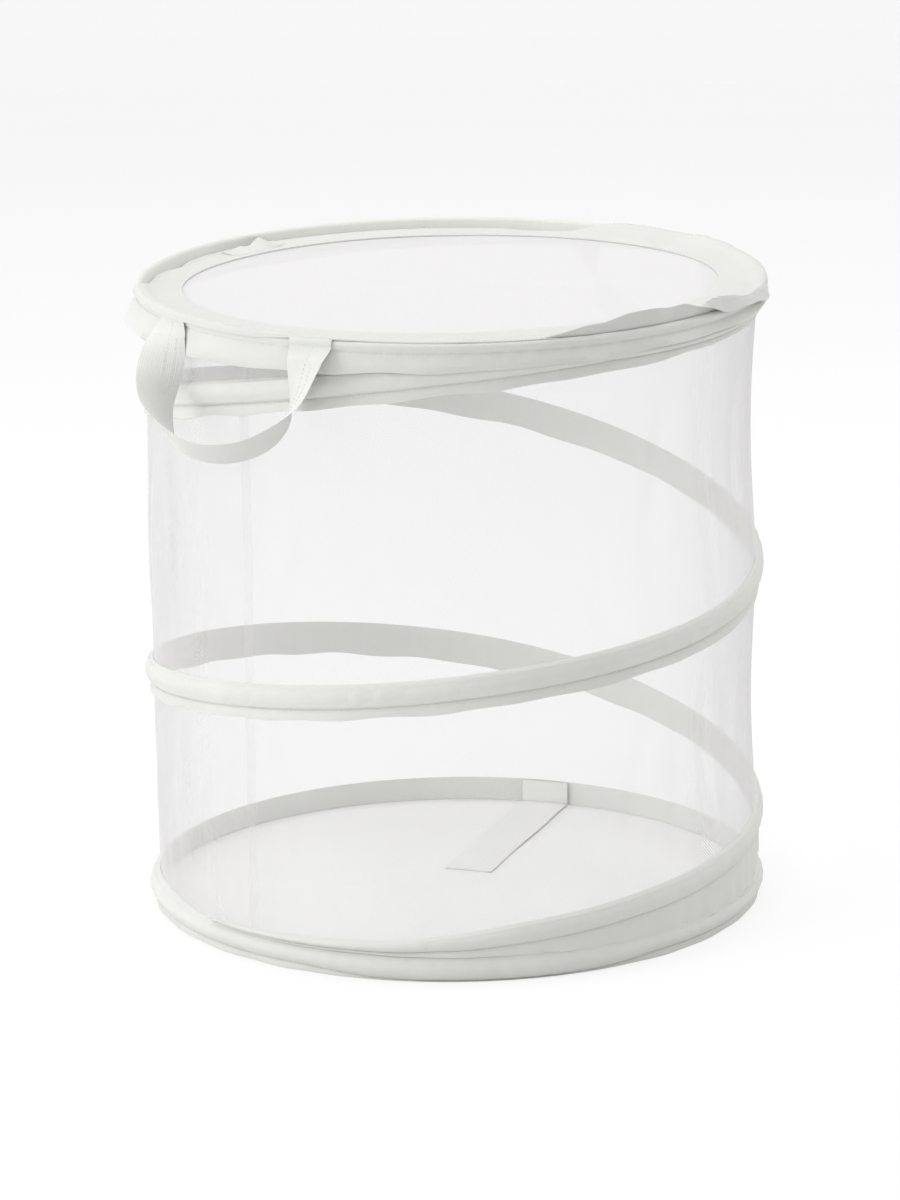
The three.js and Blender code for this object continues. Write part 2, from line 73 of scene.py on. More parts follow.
bpy.context.scene.camera = camera
bpy.context.scene.view_settings.view_transform = "Standard"


def colour(code):
    """A linear colour from an sRGB hex code."""
    parts = [int(code[i : i + 2], 16) / 255 for i in (1, 3, 5)]
    return (*[c / 12.92 if c <= 0.04045 else ((c + 0.055) / 1.055) ** 2.4 for c in parts], 1)


def add_node(tree, kind, settings=None, links=None):
    """Adds one node, sets its inputs or properties, and links its inputs to other outputs. A
    node that is given as a link stands for its first output."""
    made = tree.nodes.new(kind)
    for key, value in (settings or {}).items():
        if key in made.inputs.keys() or isinstance(key, int):
            made.inputs[key].default_value = value
        else:
            setattr(made, key, value)
    for key, source in (links or {}).items():
        output = source.outputs[0] if isinstance(source, bpy.types.Node) else source
        tree.links.new(output, made.inputs[key])
    return made


def new_material(name):
    made = bpy.data.materials.new(name)
    made.use_nodes = True
    made.node_tree.nodes.clear()
    return made, made.node_tree


def seen_directly(tree):
    """One for a ray from the camera, off a glossy thing or through a clear one, else zero."""
    rays = add_node(tree, "ShaderNodeLightPath").outputs
    seen = add_node(
        tree,
        "ShaderNodeMath",
        {"operation": "ADD"},
        {0: rays["Is Camera Ray"], 1: rays["Is Glossy Ray"]},
    )
    return add_node(
        tree,
        "ShaderNodeMath",
        {"operation": "ADD", "use_clamp": True},
        {0: seen, 1: rays["Is Transmission Ray"]},
    )


# A matt white board. To the camera it shows a paper white, and it keeps the soft shadow.
board, tree = new_material("white_board")
board_light = add_node(tree, "ShaderNodeBsdfDiffuse", {"Color": colour("#E8E8E8")})
board_seen = add_node(tree, "ShaderNodeBsdfDiffuse", {"Color": colour("#8A8A8A")})
glow = add_node(tree, "ShaderNodeEmission", {"Color": (1, 1, 1, 1), "Strength": 0.755})
paper = add_node(tree, "ShaderNodeAddShader", {}, {0: board_seen, 1: glow})
seen = seen_directly(tree)
both = add_node(tree, "ShaderNodeMixShader", {}, {0: seen, 1: board_light, 2: paper})
add_node(tree, "ShaderNodeOutputMaterial", {}, {"Surface": both})

# In metres: half the board's width, where it starts to rise, its bend's radius and its top.
BOARD_HALF, BOARD_END, BOARD_BEND, BOARD_TOP = 6, 3.2, 0.9, 5
sweep = [(-BOARD_HALF, 0), (BOARD_END, 0)]
for turn in range(10, 91, 10):
    turn = math.radians(turn)
    out, up = BOARD_BEND * math.sin(turn), BOARD_BEND - BOARD_BEND * math.cos(turn)
    sweep.append((BOARD_END + out, up))
sweep.append((BOARD_END + BOARD_BEND, BOARD_TOP))
floor_mesh = bpy.data.meshes.new("studio_floor")
floor_mesh.from_pydata(
    [(x, y, z) for y, z in sweep for x in (-BOARD_HALF, BOARD_HALF)],
    [],
    [(2 * i, 2 * i + 1, 2 * i + 3, 2 * i + 2) for i in range(len(sweep) - 1)],
)
floor = bpy.data.objects.new("studio_floor", floor_mesh)
bpy.context.collection.objects.link(floor)
floor_mesh.materials.append(board)

# The room lights the hamper at about half of what it shows to the camera.
world = bpy.data.worlds.new("studio_room")
bpy.context.scene.world = world
world.use_nodes = True
tree = world.node_tree
tree.nodes.clear()
seen = seen_directly(tree)
level = add_node(tree, "ShaderNodeMapRange", {"To Min": 0.52, "To Max": 1.0}, {"Value": seen})
room = add_node(tree, "ShaderNodeBackground", {"Color": (1, 1, 1, 1)}, {"Strength": level})
add_node(tree, "ShaderNodeOutputWorld", {}, {"Surface": room})

# Each lamp's place, its width and height, and its power.
lamps = {
    "left_panel": ((-2.3, -0.6, 1.2), (2.2, 2.2), 29),
    "right_panel": ((2.5, 0.9, 1.1), (1.6, 2.0), 13),
    "top_panel": ((0.0, 0.5, 2.6), (2.8, 2.4), 32),
    "front_panel": ((-1.0, -3.4, 1.6), (2.4, 1.6), 14),
}
lamp_aim = Vector((0, 0, 0.25))
for lamp_name, (place, size, power) in lamps.items():
    lamp_data = bpy.data.lights.new(lamp_name, "AREA")
    lamp_data.shape = "RECTANGLE"
    lamp_data.size, lamp_data.size_y = size
    lamp_data.energy = power
    lamp = bpy.data.objects.new(lamp_name, lamp_data)
    lamp.location = place
    lamp.rotation_mode = "QUATERNION"
    lamp.rotation_quaternion = (lamp_aim - Vector(place)).to_track_quat("-Z", "Y")
    bpy.context.collection.objects.link(lamp)


# ---- The wires ----
# Drawn spring steel, hard and slightly bright, 2 mm thick. A crimped sleeve closes each ring,
# and plastic caps sit on the spiral's two ends. All of it runs inside the sewn casings.
def polar(radius, angle, height):
    """A point in millimetres, from its distance to the axis, its angle and its height."""
    turn = math.radians(angle)
    return (radius * math.cos(turn), radius * math.sin(turn), height)


def distances(points):
    """How far along a path each of its points is."""
    steps = np.linalg.norm(np.diff(points, axis=0), axis=1)
    return np.concatenate([[0], np.cumsum(steps)])


def swept(name, rows, material, ring=False, tube=True, lining=None):
    """A smooth mesh through a row of like sections in millimetres, with its own length and
    width as cloth coordinates. A tube has closed sections, and a lining makes it hollow."""
    rows = np.asarray(rows, float)
    count, size = rows.shape[:2]
    sheets = [rows] if lining is None else [rows, np.asarray(lining, float)]
    points, faces, cloth = [], [], []
    middles, outline = rows.mean(axis=1), rows[count // 2]
    along = distances(np.vstack([middles, middles[:1]]))
    across = distances(np.vstack([outline, outline[:1]]))
    for sheet in sheets:
        base = len(points)
        points += sheet.reshape(-1, 3).tolist()
        for i in range(count if ring else count - 1):
            here, after = base + i * size, base + (i + 1) % count * size
            for j in range(size if tube else size - 1):
                k = (j + 1) % size
                faces.append([here + j, after + j, after + k, here + k])
                corners = ((i, j), (i + 1, j), (i + 1, j + 1), (i, j + 1))
                cloth += [(along[a], across[b]) for a, b in corners]
    if tube and not ring:
        for i in (0, count - 1):
            here = i * size
            if lining is None:
                faces.append([here + j for j in range(size)])
                cloth += [(along[i], across[j]) for j in range(size)]
                continue
            inner = count * size + here
            for j in range(size):
                k = (j + 1) % size
                faces.append([here + j, here + k, inner + k, inner + j])
                cloth += [(along[i], across[j])] * 4
    mesh = bpy.data.meshes.new(name)
    mesh.from_pydata((np.array(points) * MM).tolist(), [], faces)
    layer = mesh.uv_layers.new(name="cloth")
    layer.data.foreach_set("uv", (np.array(cloth) * MM).ravel())
    work = bmesh.new()
    work.from_mesh(mesh)
    bmesh.ops.recalc_face_normals(work, faces=work.faces)
    work.to_mesh(mesh)
    work.free()
    mesh.shade_smooth()
    mesh.set_sharp_from_angle(angle=math.radians(55))
    mesh.materials.append(material)
    made = bpy.data.objects.new(name, mesh)
    bpy.context.collection.objects.link(made)
    return made


def tube_rows(path, radius, sides=10):
    """Round sections along a path of points in millimetres."""
    path = np.asarray(path, float)
    ahead = np.gradient(path, axis=0)
    ahead /= np.linalg.norm(ahead, axis=1)[:, None]
    side = np.cross(ahead, (0, 0, 1))
    side /= np.linalg.norm(side, axis=1)[:, None]
    up = np.cross(side, ahead)
    turns = np.linspace(0, 2 * math.pi, sides, endpoint=False)[None, :, None]
    return path[:, None] + radius * (np.cos(turns) * side[:, None] + np.sin(turns) * up[:, None])


# Drawn wire has fine lines along it, which break its highlight up. They are a few hundredths
# of a millimetre apart, and are drawn at about 1 mm.
spring_steel, tree = new_material("drawn_spring_steel")
where = add_node(tree, "ShaderNodeTexCoord").outputs["Object"]
lines = add_node(tree, "ShaderNodeTexNoise", {"Scale": 900.0, "Detail": 3.0}, {"Vector": where})
rough = add_node(tree, "ShaderNodeMapRange", {"To Min": 0.25, "To Max": 0.42}, {"Value": lines})
bump = add_node(tree, "ShaderNodeBump", {"Strength": 0.2, "Distance": 0.00005}, {"Height": lines})
skin = add_node(
    tree,
    "ShaderNodeBsdfPrincipled",
    {"Base Color": colour("#B9BBBD"), "Metallic": 1.0},
    {"Roughness": rough, "Normal": bump},
)
add_node(tree, "ShaderNodeOutputMaterial", {}, {"Surface": skin})


def grained(name, texture, grain, relief, finish):
    """A material whose own fine grain raises its surface, from its texture with its settings,
    the bump's settings and the surface's."""
    made, tree = new_material(name)
    where = add_node(tree, "ShaderNodeTexCoord").outputs["Object"]
    pattern = add_node(tree, texture, grain, {"Vector": where})
    bump = add_node(tree, "ShaderNodeBump", relief, {"Height": pattern})
    skin = add_node(tree, "ShaderNodeBsdfPrincipled", finish, {"Normal": bump})
    add_node(tree, "ShaderNodeOutputMaterial", {}, {"Surface": skin})
    return made


# Moulded polyethylene caps: pale, waxy and soft edged, with a faint grain of 0.7 mm.
cap_plastic = grained(
    "moulded_polyethylene",
    "ShaderNodeTexNoise",
    {"Scale": 1400.0, "Detail": 2.0},
    {"Strength": 0.15, "Distance": 0.00005},
    {"Base Color": colour("#DDDDDB"), "Roughness": 0.5, "IOR": 1.5},
)

for wire_node in ("bottom_ring_wire", "bottom_ring_sleeve", "top_ring_wire", "top_ring_sleeve"):
    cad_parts[wire_node].data.materials.clear()
    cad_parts[wire_node].data.materials.append(spring_steel)

# ---- The foot casing ----
# A strip of grey-white polyester tape, folded over the foot ring and sewn to the net. The wire
# bulges its pocket out, and the stitching draws a crease above a narrow loose edge.
TAPE_BACK, TAPE_DEPTH = 218.5, 5.4
TAPE_FACE = TAPE_BACK + 0.5  # what lies further out than this is on a casing's outer side
FOOT_TOP = 18.0
FLANGE, ROLLED = 5.0, 0.8
SLACK_SIDE = 200  # the angle, at the left, where the net hangs slack


def hump(value, middle, half, power=2):
    """One at the middle, and nothing well beyond the half width. High powers are flat on top."""
    return np.exp(-(((value - middle) / half) ** power))


def ruffle(angle, low, high, seed, waves=7):
    """A smooth random wave round the hamper, with between low and high waves in a turn."""
    chance = random.Random(seed)
    angle = np.asarray(angle, float)
    total = np.zeros_like(angle)
    for _ in range(waves):
        count, start = chance.randint(low, high), chance.uniform(0, 6.28)
        total = total + np.cos(np.radians(angle) * count + start)
    return total / (waves / 2)


def thread_wave(tree, along, pitch):
    """A wave for every thread along a cloth coordinate, from their distance in millimetres."""
    turns = {"operation": "MULTIPLY", 1: 2 * math.pi / (pitch * MM)}
    turned = add_node(tree, "ShaderNodeMath", turns, {0: along})
    return add_node(tree, "ShaderNodeMath", {"operation": "SINE"}, {0: turned})


def patchy_tone(tree, scale, detail, worn, code):
    """Soft patches of two near tones, as handled cloth has."""
    where = add_node(tree, "ShaderNodeTexCoord").outputs["Object"]
    grain = {"Scale": scale, "Detail": detail}
    patches = add_node(tree, "ShaderNodeTexNoise", grain, {"Vector": where})
    tones = {"data_type": "RGBA", 6: colour(worn), 7: colour(code)}
    return add_node(tree, "ShaderNodeMix", tones, {0: patches}).outputs[2]


# Plain woven cloth. Its threads lie 0.45 mm apart, and are drawn at 0.9 mm so that they show.
# Fine creases run across it where the stitching pulls, and it wears to a slightly darker tone.
def woven_cloth(name, code, sheen, crease, worn):
    made, tree = new_material(name)
    place = add_node(tree, "ShaderNodeUVMap", {"uv_map": "cloth"})
    parts = add_node(tree, "ShaderNodeSeparateXYZ", {}, {0: place})
    warp, weft = (thread_wave(tree, parts.outputs[axis], 0.9) for axis in ("X", "Y"))
    weave = add_node(tree, "ShaderNodeMath", {"operation": "MULTIPLY"}, {0: warp, 1: weft})
    stretched = add_node(
        tree, "ShaderNodeMapping", {"Scale": (150.0, 14.0, 1.0)}, {"Vector": place}
    )
    pulls = add_node(
        tree,
        "ShaderNodeTexNoise",
        {"Scale": 1.0, "Detail": 3.0, "Roughness": 0.55},
        {"Vector": stretched},
    )
    relief = {"Strength": 0.35, "Distance": 0.0001}
    fine = add_node(tree, "ShaderNodeBump", relief, {"Height": weave})
    relief = {"Strength": crease, "Distance": 0.0012}
    folds = add_node(tree, "ShaderNodeBump", relief, {"Height": pulls, "Normal": fine})
    skin = add_node(
        tree,
        "ShaderNodeBsdfPrincipled",
        {"Roughness": 0.72, "IOR": 1.5, "Sheen Weight": sheen, "Sheen Roughness": 0.4},
        {"Base Color": patchy_tone(tree, 22.0, 4.0, worn, code), "Normal": folds},
    )
    add_node(tree, "ShaderNodeOutputMaterial", {}, {"Surface": skin})
    return made


# The casings' tape is calendered, so it has a faint sheen. Its paler copy is painted light: it goes
# on the faces that look inwards, and stands in for the light that the net keeps off them.
casing_cloth = woven_cloth("calendered_polyester_tape", "#E9EAE5", 0.25, 0.5, "#DFE0DB")
casing_inside_painted_light = woven_cloth("tape_inside_painted_light", "#F3F4F0", 0.25, 0.3, "#EBECE8")


def tape_loops(bottom, top, flange, lean, deep=1.0):
    """The casing's outer and inner outline, as distance from the axis and height. Lean tips the
    loose edge outwards, and deep says how full the pocket is."""
    crease = bottom + flange
    rise = top - crease
    nip, bulge = 0.35, 4.95
    front = [
        (1.0 + lean, bottom),
        (1.2 + lean, bottom + 0.25 * flange),
        (1.05 + 0.6 * lean, bottom + 0.6 * flange),
        (0.9 + 0.1 * lean, bottom + 0.88 * flange),
        (nip, crease),
    ]
    for step in range(1, 13):
        share = step / 12
        full = bulge * deep * math.sin(math.pi * share) ** 0.7
        front.append((nip + full, crease + rise * share))
    outer = front + [(0.0, top), (0.0, crease), (0.0, bottom)]
    # The hollow for the wire follows the outline from its own middle.
    middle, half = crease + rise / 2, max(rise / 2 - 1.4, 0.25 * rise)
    inner = []
    for out, height in outer:
        turn = math.atan2(height - middle, out - TAPE_DEPTH / 2)
        reach = (TAPE_DEPTH / 2 + 1.9 * math.cos(turn)) * deep
        inner.append((reach, middle + half * math.sin(turn)))
    return [[(TAPE_BACK + out, height) for out, height in loop] for loop in (outer, inner)]


def stand_up(loop, angle):
    return [polar(radius, angle, height) for radius, height in loop]


# The sewing thread: white polyester, laid down as separate stitches. Its twist is 0.3 mm long.
sewing_thread = grained(
    "polyester_sewing_thread",
    "ShaderNodeTexNoise",
    {"Scale": 3000.0, "Detail": 1.0},
    {"Strength": 0.3, "Distance": 0.00005},
    {"Base Color": colour("#E4E4E0"), "Roughness": 0.6, "Sheen Weight": 0.2},
)


def stitches(name, path, out, pitch=3.6, thread=0.45, sides=5):
    """A run of stitches on a path, in millimetres, that lie on the side that out points to."""
    path, out = np.asarray(path, float), np.asarray(out, float)
    along = distances(path)

    def at(line, place):
        return np.array([np.interp(place, along, line[:, k]) for k in range(3)])

    points, faces = [], []
    for start in np.arange(pitch / 2, along[-1] - pitch, pitch):
        ends = [at(path, start + reach) for reach in (0, 0.68 * pitch)]
        side_out = at(out, start)
        side_out /= np.linalg.norm(side_out)
        ahead = ends[1] - ends[0]
        ahead /= np.linalg.norm(ahead)
        side = np.cross(ahead, side_out)
        base = len(points)
        near, far = base + 1, base + 1 + sides
        points.append(ends[0] - 0.1 * thread * side_out)
        for share in (0.2, 0.8):
            centre = ends[0] + (ends[1] - ends[0]) * share + 0.25 * thread * side_out
            for turn in range(sides):
                angle = 2 * math.pi * turn / sides
                out_there = math.cos(angle) * side + math.sin(angle) * side_out
                points.append(centre + thread / 2 * out_there)
        points.append(ends[1] - 0.1 * thread * side_out)
        for turn in range(sides):
            after = (turn + 1) % sides
            faces.append((base, near + after, near + turn))
            faces.append((near + turn, near + after, far + after, far + turn))
            faces.append((far + sides, far + turn, far + after))
    mesh = bpy.data.meshes.new(name)
    mesh.from_pydata((np.array(points) * MM).tolist(), [], faces)
    mesh.shade_smooth()
    mesh.materials.append(sewing_thread)
    made = bpy.data.objects.new(name, mesh)
    bpy.context.collection.objects.link(made)
    return made


def foot_slump(angle, height):
    """At the left the slack net pulls the casing's upper edge inwards."""
    near = hump(angle % 360, SLACK_SIDE, 17)
    low = np.clip((height - 12.6) / (FOOT_TOP - 12.6), 0, 1) ** 1.2
    high = np.exp(-np.clip((height - FOOT_TOP) / 30, 0, None))
    return 5.5 * near * low * high


def foot_flange(angle):
    """How deep the loose edge is. At the front it has rolled under, and the bead comes down to
    the floor."""
    return FLANGE - (FLANGE - ROLLED) * hump(angle % 360, 276, 29, 6)


round_angles = np.arange(0, 360, 0.75)
foot_lean = 0.7 + 0.7 * ruffle(round_angles, 9, 34, 11)
foot_loops = []
for angle, lean in zip(round_angles, foot_lean):
    flange = float(foot_flange(angle))
    shown = (flange - ROLLED) / (FLANGE - ROLLED)
    pull = 0.3 * float(ruffle(angle, 60, 110, 12)) + 0.9 * (1 - shown)
    lift = max(0.0, 0.5 * float(ruffle(angle, 7, 25, 13))) * shown
    outer, inner = tape_loops(0.0, FOOT_TOP, flange, max(0, lean) * shown)
    shaped = []
    for radius, height in outer:
        pulled = pull if radius > TAPE_FACE and flange - 0.1 < height < 17 else 0
        lifted = lift if radius > TAPE_FACE and height < 3 else 0
        shaped.append((radius + pulled, height + lifted))
    sections = []
    for loop in (shaped, inner):
        slumped = [(radius - float(foot_slump(angle, height)), height) for radius, height in loop]
        sections.append(stand_up(slumped, angle))
    foot_loops.append(sections)
foot_outside, foot_lining = zip(*foot_loops)
foot_casing = swept("foot_casing", foot_outside, casing_cloth, ring=True, lining=foot_lining)


def paint_light_inside(piece):
    """The faces that look inwards get the paler copy of the tape: painted light, for the light that
    the net keeps off them.
    """
    piece.data.materials.append(casing_inside_painted_light)
    for face in piece.data.polygons:
        x, y, _ = face.center
        out = math.hypot(x, y)
        inwards = face.normal.x * x + face.normal.y * y < -0.8 * out
        if out < (TAPE_BACK + 0.2) * MM and inwards:
            face.material_index = 1


# The foot casing's inward faces are painted lighter, as painted light for what the net keeps off.
paint_light_inside(foot_casing)
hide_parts("bottom_casing")
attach(foot_casing, "base")
seam_turn = np.arange(0, 360.5, 1.0)
foot_stitches = stitches(
    "foot_stitches",
    [polar(TAPE_BACK + 1.0, a, max(0.3, float(foot_flange(a)) - 0.6)) for a in seam_turn],
    [polar(1, a, 0) for a in seam_turn],
)
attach(foot_stitches, "base")

# ---- The base panel ----
# A round of plain white polyester, sewn in at the foot. It lies on the floor under slight
# tension, with shallow creases that run in from the seam.
WALL = 218.2  # the radius that the foot and the spiral hold the net and the base at

# The base's cloth is the whitest, and flat, with hardly a sheen.
base_cloth = woven_cloth("plain_woven_polyester", "#F8F8F7", 0.1, 0.12, "#F5F5F3")
base_rows = []
for angle in np.arange(0, 360, 1.5):
    row = []
    for share in np.linspace(0.02, 1, 40):
        radius = (WALL - 0.2) * share
        slack = math.sin(math.pi * min(1, 1.02 * share)) ** 2
        crease = 0.35 * max(0.0, float(ruffle(angle + 14 * share, 7, 19, 21))) * slack
        row.append(polar(radius, angle, 0.35 + crease))
    base_rows.append(row)
base_sheet = swept("base_sheet", base_rows, base_cloth, ring=True, tube=False)


def lay_flat(sheet):
    """Closes the small hole in the middle of a round sheet, and gives the sheet cloth
    coordinates that are its own places seen from above."""
    work = bmesh.new()
    work.from_mesh(sheet.data)
    hub = [e for e in work.edges if e.is_boundary and e.verts[0].co.xy.length < 0.02]
    bmesh.ops.holes_fill(work, edges=hub, sides=0)
    bmesh.ops.recalc_face_normals(work, faces=work.faces)
    work.to_mesh(sheet.data)
    work.free()
    sheet.data.shade_smooth()
    cloth = sheet.data.uv_layers["cloth"].data
    for corner in sheet.data.loops:
        cloth[corner.index].uv = sheet.data.vertices[corner.vertex_index].co.xy


lay_flat(base_sheet)
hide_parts("base_panel")
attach(base_sheet, "base")

# ---- The spiral ----
# One length of the same wire in its own casing tape, wound clockwise down the wall from the
# rim on the right, a little over two turns, until it lands on the foot casing.
SPIRAL_START, SPIRAL_END, SPIRAL_TAIL = -15.0, 832.5, 30.0
SPIRAL_CEILING, SPIRAL_FLOOR = 442.7, 18.3
# The lower edge at every quarter turn, as a share of its way up from the foot.
SPIRAL_STATIONS = [1, 1, 0.962, 0.821, 0.689, 0.514, 0.426, 0.328, 0.219, 0.071, 0, 0]
SPIRAL_CLIMB = SPIRAL_CEILING - 8.7 - SPIRAL_FLOOR
spiral_heights = [SPIRAL_FLOOR + share * SPIRAL_CLIMB for share in SPIRAL_STATIONS]
# The casing is 25 mm tall, and is folded smaller and smaller as it lands.
SPIRAL_TALL = (
    (772, 25), (798, 21), (812, 16), (822, 10.5), (SPIRAL_END, 8.5),
    (SPIRAL_END + SPIRAL_TAIL, 2.5),
)
SPIRAL_FLANGE = 7.5


def between(p0, p1, p2, p3, t):
    """A place on a smooth curve through four points, a share t of the way from p1 to p2."""
    v0, v1 = (p2 - p0) / 2, (p3 - p1) / 2
    cubic, square = 2 * p1 - 2 * p2 + v0 + v1, -3 * p1 + 3 * p2 - 2 * v0 - v1
    return cubic * t**3 + square * t**2 + v0 * t + p1


def spiral_edge(turned):
    """The casing's lower edge, at an angle turned clockwise from the right hand side."""
    last = len(spiral_heights) - 1
    along = min(max((turned + 90) / 90, 0), last)
    i = min(int(along), last - 1)
    around = [spiral_heights[min(max(k, 0), last)] for k in range(i - 1, i + 3)]
    return max(between(*around, along - i), SPIRAL_FLOOR)


def spiral_band(turned):
    """The casing's lower edge, upper edge, loose flange and fullness. Past the wire's end the
    empty tape runs out as a flat tail along the foot."""
    bottom = spiral_edge(turned)
    tail = min(max((turned - SPIRAL_END) / SPIRAL_TAIL, 0), 1)
    top = min(bottom + float(np.interp(turned, *zip(*SPIRAL_TALL))), SPIRAL_CEILING)
    tall = top - bottom
    tucked = min(max((turned - 775) / 35, 0), 1)
    flange = max(min(SPIRAL_FLANGE, tall - 8), 0.3 * tall) * (1 - 0.7 * tucked)
    return bottom, top, flange + 0.1 * tall * tucked, 1 - 0.85 * tail


spiral_turns = np.arange(SPIRAL_START, SPIRAL_END + SPIRAL_TAIL + 0.1, 0.75)
spiral_loops, spiral_centre, spiral_crease = [], [], []
for turned in spiral_turns:
    bottom, top, flange, deep = spiral_band(turned)
    lean = max(0.0, 0.7 + 0.8 * float(ruffle(turned * 1.07, 8, 30, 31))) * deep
    pull = 0.32 * float(ruffle(turned * 1.03, 55, 105, 32)) * deep
    sway = 0.9 * float(ruffle(turned * 0.97, 7, 24, 33))
    outer, inner = tape_loops(bottom, top, flange, lean, deep)
    crease = bottom + flange
    loose = 1 - min(max((turned - (SPIRAL_END - 90)) / 40, 0), 1)
    # Where it nears the foot, the loose edge hangs deeper and closes the gap.
    hang = min(bottom - (FOOT_TOP - 1.2), 24 + 1.5 * float(ruffle(turned, 20, 60, 34)))
    deeper = hump(turned, 763, 48, 4) * hang
    crumple = 0.09 * min(deeper, 12) * float(ruffle(turned, 25, 80, 35))
    shaped = []
    for radius, height in outer:
        if radius > TAPE_FACE and height < crease - 0.5:
            down = (crease - height) / flange
            radius += crumple * down
            height += (sway * loose - max(0.0, deeper)) * down
        elif radius > TAPE_FACE and height < top - 0.5:
            radius += pull
        shaped.append((radius, height))
    shaped[-1] = (TAPE_BACK, shaped[0][1])
    spiral_loops.append((stand_up(shaped, -turned), stand_up(inner, -turned)))
    if turned <= SPIRAL_END:
        channel = crease + (top - crease) / 2
        spiral_centre.append(polar(TAPE_BACK + TAPE_DEPTH / 2, -turned, channel))
        spiral_crease.append(polar(TAPE_BACK + 1.05, -turned, crease - 0.5))
spiral_outside, spiral_lining = zip(*spiral_loops)
spiral_casing = swept("spiral_sleeve", spiral_outside, casing_cloth, lining=spiral_lining)
# The spiral casing's inward faces are painted lighter, as painted light for what the net keeps off.
paint_light_inside(spiral_casing)
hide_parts("spiral_casing")
# The wire stops short of the sewn ends, and each cap goes over an end of it.
spring = swept("spiral_spring", tube_rows(spiral_centre[12:-12], 1.0), spring_steel)
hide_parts("spiral_wire")
end_caps = []
for cap_name, node_name, cap_path in (
    ("upper_wire_cap", "spiral_top_cap", spiral_centre[8:15]),
    ("lower_wire_cap", "spiral_bottom_cap", spiral_centre[-15:-8]),
):
    cap_outside, cap_bore = (tube_rows(cap_path, radius, 14) for radius in (1.55, 1.1))
    cap = swept(cap_name, cap_outside, cap_plastic, lining=cap_bore)
    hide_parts(node_name)
    end_caps.append(cap)
spiral_stitches = stitches(
    "spiral_stitches",
    spiral_crease,
    [polar(1, -turned, 0) for turned in spiral_turns[: len(spiral_crease)]],
)
# The rim comes down by 340 mm when the hamper is folded flat.
WALL_TOP, RIM_TRAVEL = 445.6, 340
for part in (spiral_casing, spring, *end_caps, spiral_stitches):
    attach(part, "base")
    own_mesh(part)

# ---- The net wall ----
# One sheet of sheer knitted polyester net, closed by a seam at the front left. It is drawn in
# between the turns of the spiral and falls in soft folds, where the spiral holds it slack.
HEIGHT = 455.0


# Polyester monofilament net, more see-through than solid. Its holes are 0.5 mm, drawn at
# 2.6 mm so that they show. Seen edge on, its threads cover each other, as they do on any sheer
# cloth. It casts only a third of a full shade, so the hamper is bright inside.
def sheer_net(name, open_share, edge_share):
    made, tree = new_material(name)
    place = add_node(tree, "ShaderNodeUVMap", {"uv_map": "cloth"})
    parts = add_node(tree, "ShaderNodeSeparateXYZ", {}, {0: place}).outputs
    slants = []
    for sign in (1.0, -1.0):
        slope = {"operation": "MULTIPLY_ADD", 1: sign}
        lean = add_node(tree, "ShaderNodeMath", slope, {0: parts["X"], 2: parts["Y"]})
        wave = thread_wave(tree, lean, 2 * 2.6)
        slants.append(add_node(tree, "ShaderNodeMath", {"operation": "ABSOLUTE"}, {0: wave}))
    knit = add_node(
        tree, "ShaderNodeMath", {"operation": "MULTIPLY"}, {0: slants[0], 1: slants[1]}
    )
    denser = {"From Max": 0.8, "To Min": 1.1, "To Max": 0.9}
    threads = add_node(tree, "ShaderNodeMapRange", denser, {"Value": knit})
    facing = add_node(tree, "ShaderNodeLayerWeight", {"Blend": 0.5}).outputs["Facing"]
    edge_on = add_node(tree, "ShaderNodeMath", {"operation": "POWER", 1: 2.2}, {0: facing})
    shares = {"To Min": open_share, "To Max": edge_share}
    cover = add_node(tree, "ShaderNodeMapRange", shares, {"Value": edge_on})
    shadow_ray = add_node(tree, "ShaderNodeLightPath").outputs["Is Shadow Ray"]
    shade = {"To Min": 1.0, "To Max": 0.35}
    shade = add_node(tree, "ShaderNodeMapRange", shade, {"Value": shadow_ray})
    cover = add_node(tree, "ShaderNodeMath", {"operation": "MULTIPLY"}, {0: cover, 1: shade})
    clamped = {"operation": "MULTIPLY", "use_clamp": True}
    alpha = add_node(tree, "ShaderNodeMath", clamped, {0: cover, 1: threads})
    relief = {"Strength": 0.1, "Distance": 0.0001}
    bump = add_node(tree, "ShaderNodeBump", relief, {"Height": threads})
    finish = {"Base Color": colour("#E2E0E1"), "Roughness": 0.85, "IOR": 1.5}
    skin = add_node(
        tree,
        "ShaderNodeBsdfPrincipled",
        {**finish, "Sheen Weight": 0.3, "Sheen Roughness": 0.5},
        {"Alpha": alpha, "Normal": bump},
    )
    add_node(tree, "ShaderNodeOutputMaterial", {}, {"Surface": skin})
    return made


wall_cloth = sheer_net("sheer_knitted_net", 0.15, 0.93)


def bands_at(angle):
    """The stretches of wall that lie against a casing at an angle, from the floor up."""
    held = [(-1.0, FOOT_TOP + 0.3), (436.0, 460.0)]
    turned = -angle
    while turned <= SPIRAL_END:
        if turned >= SPIRAL_START:
            held.append(spiral_band(turned)[:2])
        turned += 360
    return sorted(held)


# Single folds of slack net: the angle they start at by the floor, the angle they reach at the
# rim, and how deep they are.
WALL_FOLDS = [
    (186, 196, 1.6), (194, 214, 2.0), (203, 208, 2.4), (214, 206, 2.0),
    (221, 232, 1.6), (238, 226, 1.2), (304, 314, 1.2), (318, 309, 1.7),
    (327, 324, 2.2), (334, 341, 2.0), (347, 336, 1.6), (20, 32, 1.4),
    (64, 51, 1.3), (98, 107, 1.2), (131, 122, 1.4), (158, 166, 1.6),
]


